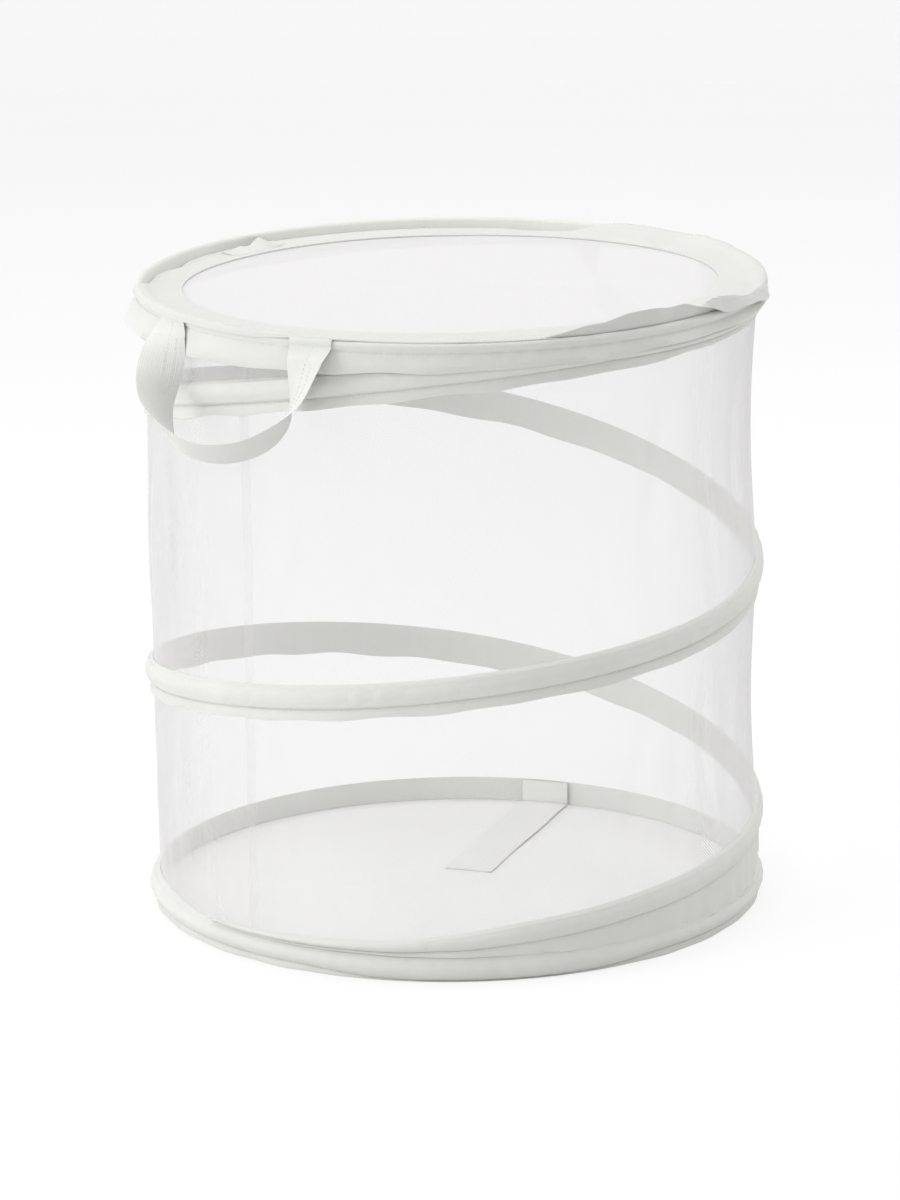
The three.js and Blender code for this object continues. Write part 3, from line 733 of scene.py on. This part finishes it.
def wall_depth(angle, heights):
    """How far the net is drawn in from its own radius, in millimetres."""
    angle = angle % 360
    held = bands_at(angle)
    depth = np.zeros_like(heights)
    left = hump(angle, SLACK_SIDE, 38)
    slanted = ruffle(angle + 0.10 * heights, 14, 30, 41)
    upright = ruffle(angle, 9, 24, 42)
    broad = ruffle(angle + 0.05 * heights, 3, 7, 43)
    crossed = ruffle(angle - 0.16 * heights, 16, 34, 44)
    folds = 1.0 + 0.35 * slanted + 0.5 * upright + 0.5 * broad + left * 0.9 * crossed
    folds = 1.3 * np.clip(folds - 0.7 * left, 0, 3.4)
    for (_, low), (high, _) in zip(held, held[1:]):
        if high - low < 4:
            continue
        share = (heights - low) / (high - low)
        inside = (share > 0) & (share < 1)
        bay = np.sin(np.pi * np.clip(share, 0, 1)) ** 1.3
        slack = min(1.0, 2 * (high - low) / HEIGHT)
        depth = np.where(inside, bay * (3.0 * slack * (1 - 2.3 * left) + folds), depth)
        for foot_angle, top_angle, tuck in WALL_FOLDS:
            fold_angle = foot_angle + (top_angle - foot_angle) * heights / HEIGHT
            fold_angle = fold_angle + 1.6 * np.sin(heights / 37 + foot_angle)
            fold = bay * 0.75 * tuck * hump(angle, fold_angle, 2.7)
            depth = depth + np.where(inside, fold, 0)
    return depth + foot_slump(angle, heights)


wall_heights = np.linspace(1.2, WALL_TOP, 112)
wall_rows = []
for angle in np.arange(0, 360, 0.8):
    depths = wall_depth(angle, wall_heights)
    wall_rows.append([polar(WALL - 0.4 - d, angle, z) for d, z in zip(depths, wall_heights)])
wall = swept("net_wall", wall_rows, wall_cloth, ring=True, tube=False)
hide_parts("wall_net")
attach(wall, "base")

# The net's two edges lie doubled in an upright seam, 8 mm wide.
SEAM_ANGLE, SEAM_HALF, SEAM_THICK = 228.75, 4, 0.6
seam_rows = []
for z in wall_heights:
    front = WALL - 0.9 - float(wall_depth(SEAM_ANGLE, np.array([z]))[0])
    back = front - SEAM_THICK
    half = math.degrees(SEAM_HALF / front)
    corners = ((back, half), (front, half), (front, -half), (back, -half))
    seam_rows.append([polar(radius, SEAM_ANGLE + turn, z) for radius, turn in corners])
seam_net = sheer_net("doubled_net_seam", 0.08, 0.6)
wall_seam = swept("wall_seam", seam_rows, seam_net)
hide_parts("wall_seam_tape")
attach(wall_seam, "base")
for part in (wall, wall_seam):
    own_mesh(part)

# ---- The rim ----
# The same tape, rolled over the rim's wire as a tight bead. A short leg inside takes the net
# and the lid, and a loose skirt hangs outside, deeper on the left than on the right.
ROLL_RADIUS, ROLL, ROLL_BORE = 222.14, 2.86, 2.05
NECK, LEG = 448.3, 443.0  # where the skirt is sewn under the bead, and where the leg ends
# The handles' four ends are sewn on here and hold the skirt flat.
HANDLE_FACING = {"front": 227.8, "back": 47.8}
HANDLE_HALF = 17.2
HANDLE_ENDS = [facing + side * HANDLE_HALF for facing in HANDLE_FACING.values() for side in (-1, 1)]


def round_the_wire(reach, start, end, count):
    """Places round the rim's wire, at a distance from its middle, from one turn to another."""
    turns = np.linspace(start, end, count)
    return [
        (ROLL_RADIUS + reach * math.cos(t), HEIGHT - ROLL + reach * math.sin(t)) for t in turns
    ]


roll = round_the_wire(ROLL, -0.5, math.pi, 13)
bore = round_the_wire(ROLL_BORE, math.pi, -0.35, 12)
legs = [(TAPE_BACK, LEG), (TAPE_BACK + 0.8, LEG)]
rim_loops, rim_seam = [], []
for angle in round_angles:
    edge = HEIGHT - (21 - 7.5 * math.cos(math.radians(angle - 350)))
    held = max(hump(angle, sewn, 7, 4) for sewn in HANDLE_ENDS)
    lean = 1.3 + 0.9 * float(ruffle(angle, 8, 30, 51)) + 6.0 * hump(angle, 181, 15)
    lean *= 1 - held
    pull = 0.3 * float(ruffle(angle, 60, 120, 52))
    edge += 0.7 * float(ruffle(angle, 6, 22, 53))
    middle, upper = (edge + share * (NECK - edge) for share in (0.45, 0.8))
    # The skirt's face and back from its hem up, how far it has moved out, and the height.
    skirt = (
        (225.3, 224.5, lean * 0.5, edge),
        (225.5, 224.7, lean, edge + 2.0),
        (225.15, 224.35, lean * 0.6, middle),
        (224.8, 224.0, 0.4 * pull, upper),
        (223.9, 223.1, pull, NECK - 0.9),
        (223.6, 222.85, pull, NECK),
    )
    outside = [(face + moved, height) for face, _, moved, height in skirt]
    inside = [(back + moved, height) for _, back, moved, height in reversed(skirt)]
    rim_loops.append(stand_up(outside + roll + legs + bore + inside, angle))
    rim_seam.append(polar(223.95, angle, NECK - 0.5))
rim_band = swept("rim_band", rim_loops, casing_cloth, ring=True)
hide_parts("top_casing")
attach(rim_band, "rim")
rim_stitches = stitches(
    "rim_stitches", rim_seam + rim_seam[:1], [polar(1, a, 0) for a in [*round_angles, 0]]
)
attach(rim_stitches, "rim")

# ---- The lid ----
# A round of the same net with a wide border of plain woven cloth. It is sewn inside the rim
# along the back and lies over the rim everywhere else, and at the front right its hem curls up.
LID_FACING = 295.0  # the angle of its free side
RIM_RADIUS = 225
LID_FOLD = RIM_RADIUS * math.cos(math.radians(41))  # how far behind the axis it folds
LID_RISE = 9.3 / (LID_FOLD + RIM_RADIUS)
BORDER_INNER, BORDER_TOP = 191.0, 455.9


def lid_level(radius, angle):
    """The net's height at a place on the lid, its angle counted from the free side."""
    from_fold = LID_FOLD + radius * math.cos(math.radians(angle))
    return 446.7 + max(0.0, from_fold) * LID_RISE


def smooth(value, low, high):
    """From zero at the low value to one at the high one, with soft ends."""
    share = min(max((value - low) / (high - low), 0), 1)
    return share * share * (3 - 2 * share)


def short_way(angle):
    """The same angle, between half a turn back and half a turn on."""
    return (angle + 180) % 360 - 180


def curve_through(points, count):
    """Places at even steps on a smooth curve through the given ones, and how far along the
    row of given points each place is."""
    points = [np.asarray(p, float) for p in points]
    points = [2 * points[0] - points[1], *points, 2 * points[-1] - points[-2]]
    fine, shares = [], []
    for i in range(1, len(points) - 2):
        for t in np.linspace(0, 1, 24, endpoint=False):
            fine.append(between(*points[i - 1 : i + 3], t))
            shares.append(i - 1 + t)
    fine = np.array(fine + [points[-2]])
    shares.append(len(points) - 3)
    along = distances(fine)
    even = np.linspace(0, along[-1], count)
    places = np.stack([np.interp(even, along, fine[:, k]) for k in range(3)], axis=1)
    return places, np.interp(even, along, shares)


def border_profile(angle):
    """Seven places across the border at an angle, from the net to the hem, as distance from
    the axis and height, and how far it is over the bead, a lip or a flap there."""
    # The seam begins 11 degrees sooner on the left.
    aside = abs(angle)
    sooner = 11 if -160 < angle < 0 else 0
    away = aside + sooner * smooth(aside, 60, 90) * (1 - smooth(aside, 120, 131))
    start = (BORDER_INNER, lid_level(BORDER_INNER, angle) + 0.9)
    rise = BORDER_TOP - start[1]
    ramp = [start, (203, start[1] + 0.1 * rise), (212.5, start[1] + 0.4 * rise)]
    # Sewn in at the back, it lies flat behind the rim.
    tucked = 216.6 + 1.2 * smooth(away, 142, 150) - 5.5 * hump(away, 137.5, 4.0)
    flat = [start]
    for share in (0.2, 0.4, 0.6, 0.75, 0.9, 1):
        radius = BORDER_INNER + (tucked - BORDER_INNER) * share
        flat.append((radius, lid_level(radius, angle) + 1.0))
    # At the sides it goes over the bead, and at the front its hem stops on top of the bead. It
    # rises over the handles' sewn ends.
    front = smooth(angle, -62, -48) * (1 - smooth(angle, 48, 60))
    sewn_on = max(hump(short_way(LID_FACING + angle - sewn), 0, 6.5, 4) for sewn in HANDLE_ENDS)
    over = ramp + [
        (217.4, start[1] + 0.93 * rise - 0.9 * front),
        (221.6 - 1.4 * front, 456.4 - 1.1 * front + 1.2 * sewn_on),
        (225.0 - 2.9 * front + 1.2 * sewn_on, 456.0 - 0.1 * front + 1.2 * sewn_on),
        (226.3 - 3.3 * front + 1.6 * sewn_on, 452.2 + 3.6 * front + 0.6 * sewn_on),
    ]
    # At the front right its outer part stands up on the bead as a lip,
    lip_top = 460.5 + 6.0 * smooth(angle, -4, 10)
    lip = ramp + [(216.8, 454.4), (220.7, 455.4), (222.2, 459.0), (221.9, lip_top)]
    # and beyond that it has flipped over the bead to the outside, down to a pointed end.
    crest = 466.5 - 9.0 * smooth(angle, 28, 47)
    hem = 463.0 - 10.5 * smooth(angle, 24, 34) - 2.5 * smooth(angle, 36, 50)
    tip = hump(angle, 51.5, 3.2)
    flap = ramp + [(216.8, 454.4), (220.9, 455.5), (224.2 + tip, crest - 0.6)]
    flap.append((228.2 + 2.4 * tip, hem - 2.5 * tip))
    sewn_in = smooth(away, 119, 131.5)
    lipped = smooth(angle, -10, -1) * (1 - smooth(angle, 20, 30))
    flipped = smooth(angle, 20, 30) * (1 - smooth(angle, 54, 58.5))
    places = np.array(over)
    for other, amount in ((flat, sewn_in), (lip, lipped), (flap, flipped)):
        places = places * (1 - amount) + np.array(other) * amount
    return places, 1 - sewn_in, lipped, flipped


# The border's cloth is greyer than the base's, with soft creases along its hem.
border_cloth = woven_cloth("plain_woven_lid_border", "#E0E1DD", 0.15, 0.25, "#D8D9D5")
BORDER_STEPS, BORDER_THICK = 19, 0.8
SEAM_STEP = -4  # the step across that the hem's stitches lie on
share = np.linspace(0, 1, BORDER_STEPS)
border_rows, border_hem, border_out = [], [], []
for angle in np.arange(-180, 180, 0.6):
    places, over, lip, flap = border_profile(angle)
    wave = float(ruffle(angle, 10, 34, 61))
    fine = float(ruffle(angle, 36, 70, 62))
    top, _ = curve_through([(0, radius, height) for radius, height in places], BORDER_STEPS)
    turned_up = min(1.0, lip + flap)
    calm = 1 - turned_up * np.clip(2 * share, 0, 1)
    slack = np.sin(np.pi * share) * (0.5 + 0.4 * wave + 0.25 * fine)
    top[:, 2] += calm * (slack + share * over * 0.3 * max(0.0, wave))
    top[:, 2] += lip * share**4 * (0.5 * fine + 0.9 * wave)
    top[:, 1] += (lip + 0.5 * flap) * share**4 * (0.7 * fine + 0.7 * wave)
    ahead = np.gradient(top, axis=0)
    ahead /= np.linalg.norm(ahead, axis=1)[:, None]
    inwards = np.stack([np.zeros(BORDER_STEPS), ahead[:, 2], -ahead[:, 1]], axis=1)
    low = top + BORDER_THICK * inwards
    section = [tuple(place[1:]) for place in (*top, *low[::-1])]
    turn = LID_FACING + angle
    border_rows.append(stand_up(section, turn))
    border_hem.append(polar(top[SEAM_STEP][1], turn, top[SEAM_STEP][2]))
    border_out.append(polar(-ahead[SEAM_STEP][2], turn, ahead[SEAM_STEP][1]))
lid_border = swept("lid_border_cloth", border_rows, border_cloth, ring=True)
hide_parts("lid_border", "lid_back_border")
lid_stitches = stitches("lid_stitches", border_hem, border_out)

lid_net_cloth = sheer_net("sheer_lid_net", 0.2, 1.3)
NET_EDGE = 194.5
net_rows = []
for angle in np.arange(-180, 180, 2.0):
    row = []
    for share in np.linspace(0.01, 1, 44):
        radius = NET_EDGE * share
        drift = float(ruffle(angle + 20 * share, 3, 9, 71))
        sag = 1.6 * (1 - share**2) + 0.9 * share**2 * (1 - share) * drift
        row.append(polar(radius, LID_FACING + angle, lid_level(radius, angle) - 0.2 - max(0, sag)))
    net_rows.append(row)
lid_net = swept("lid_net_sheet", net_rows, lid_net_cloth, ring=True, tube=False)
lay_flat(lid_net)
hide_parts("lid_net", "lid_back_net")
for part in (lid_border, lid_stitches, lid_net):
    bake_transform(part)

# ---- The handles ----
# Flat polyester webbing, 32 mm wide, with both ends sewn under the bead. Each loop hangs away
# from the wall and twists, so that its far edge stands higher at the bottom.
WEBBING = 32

# Webbing is woven with ribs along it and picks across, 1 mm apart and drawn at 1.6 and 1.1 mm
# so that they show. Its surface is dull, and a little worn in patches.
webbing, tree = new_material("ribbed_polyester_webbing")
place = add_node(tree, "ShaderNodeUVMap", {"uv_map": "cloth"})
parts = add_node(tree, "ShaderNodeSeparateXYZ", {}, {0: place}).outputs
ribs, picks = thread_wave(tree, parts["Y"], 1.6), thread_wave(tree, parts["X"], 1.1)
faint = {"operation": "MULTIPLY_ADD", 1: 0.4}
weave = add_node(tree, "ShaderNodeMath", faint, {0: picks, 2: ribs})
bump = add_node(tree, "ShaderNodeBump", {"Strength": 0.4, "Distance": 0.00015}, {"Height": weave})
skin = add_node(
    tree,
    "ShaderNodeBsdfPrincipled",
    {"Roughness": 0.7, "IOR": 1.5, "Sheen Weight": 0.2},
    {"Base Color": patchy_tone(tree, 40.0, 3.0, "#DFE0DC", "#E7E8E4"), "Normal": bump},
)
add_node(tree, "ShaderNodeOutputMaterial", {}, {"Surface": skin})


def strap_section(centre, across, through, width, thick=1.2):
    """A flat section with rounded edges."""
    shares = np.linspace(-1, 1, 9)
    lips = [thick / 2 * math.sqrt(max(0.0, 1 - abs(a) ** 14)) for a in shares]
    ring = [(a * width / 2, -lip) for a, lip in zip(shares, lips)]
    ring += [(a * width / 2, lip) for a, lip in list(zip(shares, lips))[-2:0:-1]]
    return [centre + a * across + b * through for a, b in ring]


# The hanging loop's middle line, as shares of its half span, its reach outwards and its drop,
# and how far the webbing has turned over at each of these places.
HANDLE_ROUTE = [
    (-0.94, 0, 0), (-0.93, 0.27, 0.3), (-0.8, 0.68, 0.64), (-0.43, 0.96, 0.91), (0.02, 0.89, 1),
    (0.47, 0.63, 0.91), (0.81, 0.43, 0.67), (0.97, 0.22, 0.35), (1, 0, 0),
]
HANDLE_TWIST = [0, 0.33, 0.73, 0.98, 0.93, 0.82, 0.62, 0.25, 0]
LOOP_REACH, LOOP_DROP, LOOP_TWIST = 33, 69, math.radians(137)
HINGE_HEIGHT = 441
half_turn = math.radians(HANDLE_HALF)
HANDLE_SPAN = 225.9 * math.sin(half_turn)
HANDLE_OUT = 226.5 * math.cos(half_turn) + WEBBING / 2 * math.sin(half_turn) + 0.9
# A sewn end's way over the bead and down the skirt.
TAB_ROUTE = [(220.6, 456.2), (223.0, 456.0), (225.1, 454.8), (226.2, 452.4), (226.35, 449.5)]
UP = np.array((0.0, 0.0, 1.0))
for side_name, facing in HANDLE_FACING.items():
    out = np.array(polar(1, facing, 0))
    sideways = np.cross(UP, out)
    hinge = out * HANDLE_OUT + UP * HINGE_HEIGHT
    route = [
        hinge + sideways * (s * HANDLE_SPAN) + out * (o * LOOP_REACH) - UP * (d * LOOP_DROP)
        for s, o, d in HANDLE_ROUTE
    ]
    loop, places = curve_through(route, 110)
    twists, twist_places = curve_through([(i, t, 0) for i, t in enumerate(HANDLE_TWIST)], 400)
    rows = []
    for i, centre in enumerate(loop):
        ahead = loop[min(i + 1, len(loop) - 1)] - loop[max(i - 1, 0)]
        if i in (0, len(loop) - 1):
            ahead = -UP if i == 0 else UP
        ahead = ahead / np.linalg.norm(ahead)
        flat = np.cross(ahead, out)
        flat /= np.linalg.norm(flat)
        edge = np.cross(flat, ahead)
        twist = LOOP_TWIST * np.interp(places[i], twist_places, twists[:, 1])
        across = flat * math.cos(twist) + edge * math.sin(twist)
        rows.append(strap_section(centre, across, np.cross(ahead, across), WEBBING))
    tabs = []
    for word, sign, end in (("left", -1, HANDLE_ROUTE[0][0]), ("right", 1, 1)):
        angle = facing + sign * HANDLE_HALF * abs(end)
        face = np.array(polar(1, angle, 0))
        tangent = np.cross(UP, face)
        # Over the bead, down the skirt, then out to where the loop hangs from it.
        root = hinge + sideways * (end * HANDLE_SPAN)
        # An end that the border doesn't cover stops under the bead instead.
        covered = border_profile(short_way(angle - LID_FACING))[1] > 0.5
        path = [face * radius + UP * height for radius, height in TAB_ROUTE[0 if covered else 3 :]]
        path, _ = curve_through(path + [root], 40)
        ahead = np.gradient(path, axis=0)
        tab = []
        for centre, forward in zip(path, ahead):
            free = smooth(-centre[2], -452, -440.5)
            across = tangent * (1 - free) + sideways * free
            forward = forward - across * (forward @ across) / (across @ across)
            through = np.cross(forward, across)
            across, through = (v / np.linalg.norm(v) for v in (across, through))
            tab.append(strap_section(centre, across, through, WEBBING))
        tab.append(strap_section(root - UP * 1.2, sideways, out, WEBBING - 0.3, 0.9))
        tabs.append((word, tab))
    loop_piece = swept(f"{side_name}_handle", rows, webbing)
    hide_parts(f"handle_{side_name}_loop")
    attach(loop_piece, f"handle_{side_name}")
    # Two rows of stitches run along each doubled end, on the part that stays with the rim and
    # on the part that swings with the loop.
    for (word, tab), end_rows in zip(tabs, (rows[:20], rows[:-21:-1])):
        tab_piece = swept(f"{side_name}_handle_end_{word}", tab, webbing)
        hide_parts(f"handle_{side_name}_tab_{word}")
        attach(tab_piece, "rim")
        for part_name, sewn_rows, body in (
            ("end", tab[14:], "rim"),
            ("loop", end_rows, f"handle_{side_name}"),
        ):
            sewn_rows = np.array(sewn_rows)
            centres = sewn_rows.mean(axis=1)
            widths = sewn_rows[:, 8] - sewn_rows[:, 0]
            widths *= np.sign(widths[:, :2] @ sideways[:2])[:1, None] / WEBBING
            outs = np.cross(widths, np.gradient(centres, axis=0))
            outs /= np.linalg.norm(outs, axis=1)[:, None]
            outs *= np.sign(outs[0] @ out)
            down, back = (centres + widths * place + outs * 0.62 for place in (2.0, 8.5))
            seam = np.vstack([down, back[::-1]]) if body != "rim" else down
            seam_out = np.vstack([outs, outs[::-1]]) if body != "rim" else outs
            seam_name = f"{side_name}_{part_name}_stitches_{word}"
            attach(stitches(seam_name, seam, seam_out, pitch=3.0), body)

# ---- The fold strap ----
# A length of smooth woven webbing that holds the hamper when it is folded flat. Its root is
# sewn to the wall by the foot, and it lies on the base with hook tape under its end.
STRAP_WIDTH, STRAP_THICK, STRAP_LONG, STRAP_HEADING = 36, 0.9, 178, 250.5

# Moulded nylon hooks, 1.4 mm apart: rough to the eye, and dull.
hook_tape = grained(
    "nylon_hook_tape",
    "ShaderNodeTexVoronoi",
    {"Scale": 700.0},
    {"Strength": 0.8, "Distance": 0.0004},
    {"Base Color": colour("#EDEDEB"), "Roughness": 0.8},
)


def flat_strap(name, root, heading, reach, level, width, thick, cloth, crumple):
    """A strap lying along a heading, from one reach to another. Crumple lists, by distance
    from its root, how far it is lifted and rolled and shifted sideways."""
    ahead = np.array(polar(1, heading, 0))
    side = np.cross(UP, ahead)
    places, *columns = zip(*crumple)
    rows = []
    for place in np.linspace(*reach, 48):
        lift, roll, shift = (float(np.interp(place, places, values)) for values in columns)
        turn = math.radians(roll)
        across = side * math.cos(turn) + UP * math.sin(turn)
        up = UP * math.cos(turn) - side * math.sin(turn)
        centre = np.array(root) + ahead * place + side * shift + UP * lift
        centre = centre + up * (level + thick / 2)
        rows.append(strap_section(centre, across, up, width, thick))
    return swept(name, rows, cloth)


def eased(points):
    """The same list with many more places, on a smooth curve through the given ones."""
    fine, _ = curve_through([(place, lift, roll) for place, lift, roll, _ in points], 90)
    drift, _ = curve_through([(place, shift, 0) for place, _, _, shift in points], 90)
    return [
        (place, lift, roll, float(np.interp(place, drift[:, 0], drift[:, 1])))
        for place, lift, roll in fine.tolist()
    ]


# Woven finer and whiter than the handles, so its ribs don't show.
strap_cloth = woven_cloth("plain_woven_strap", "#F3F3F0", 0.15, 0.2, "#EBEBE8")
strap_root = (67.92, 202.98, 0.8)
lying = eased([
    (0, 0, 0, 0), (30, 0.5, 0, 0), (60, 0.1, 1, 0.5), (95, 0.9, -1, 0), (125, 0.1, 0, -0.5),
    (STRAP_LONG, 0, 0, 0),
])
strap = flat_strap(
    "fold_strap_webbing", strap_root, STRAP_HEADING, (0, STRAP_LONG), 0.1,
    STRAP_WIDTH, STRAP_THICK, strap_cloth, lying,
)
strap_hooks = flat_strap(
    "fold_strap_hooks", strap_root, STRAP_HEADING, (126, STRAP_LONG - 0.6), -0.4,
    STRAP_WIDTH - 1, STRAP_THICK / 2, hook_tape, lying,
)
for part, node_name, slot_name in (
    (strap, "fold_strap", "webbing"),
    (strap_hooks, "fold_strap_patch", "hook"),
):
    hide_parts(node_name)
    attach(part, "strap")
anchor_out = np.array(polar(1, 71.5, 0))
anchor_side = np.cross(UP, anchor_out)
anchor_rows = [
    strap_section(anchor_out * 215.2 + UP * z, anchor_side, anchor_out, STRAP_WIDTH)
    for z in np.linspace(1.6, 17.8, 6)
]
anchor = swept("strap_root", anchor_rows, strap_cloth)
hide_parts("strap_anchor")
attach(anchor, "base")

# ---- The closing tab ----
# A short ribbon of narrow webbing, woven as fine as the border and sewn in at the back of the
# rim. It lies crumpled along the lid's border, and its hook patch grips the fold strap when
# the hamper is folded.
RIBBON_WIDTH, RIBBON_THICK, RIBBON_LONG, RIBBON_HEADING = 15, 0.9, 58, 231
tab_root = np.array(polar(210.4, 127, 447.2))
crumpled = eased([
    (0, 0.1, 0, 0), (7, 0.5, -4, 1.2), (13, 2.0, -17, 1.8), (18, 2.9, -25, 2), (24, 1.4, -14, 2.2),
    (30, 0.3, -3, 2.6), (38, 1.2, -11, 2.2), (47, 0.3, -2, 1.6), (RIBBON_LONG, 0.8, -7, 1.2),
])
tab = flat_strap(
    "closing_ribbon", tab_root, RIBBON_HEADING, (0, RIBBON_LONG), 0.45,
    RIBBON_WIDTH, RIBBON_THICK, border_cloth, crumpled,
)
tab_hooks = flat_strap(
    "closing_ribbon_hooks", tab_root, RIBBON_HEADING, (31, RIBBON_LONG - 0.6), -0.1,
    RIBBON_WIDTH - 1, 0.6, hook_tape, crumpled,
)
for part, node_name, slot_name in (
    (tab, "closing_tab", "webbing"),
    (tab_hooks, "closing_tab_patch", "hook"),
):
    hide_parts(node_name)
    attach(part, "tab")
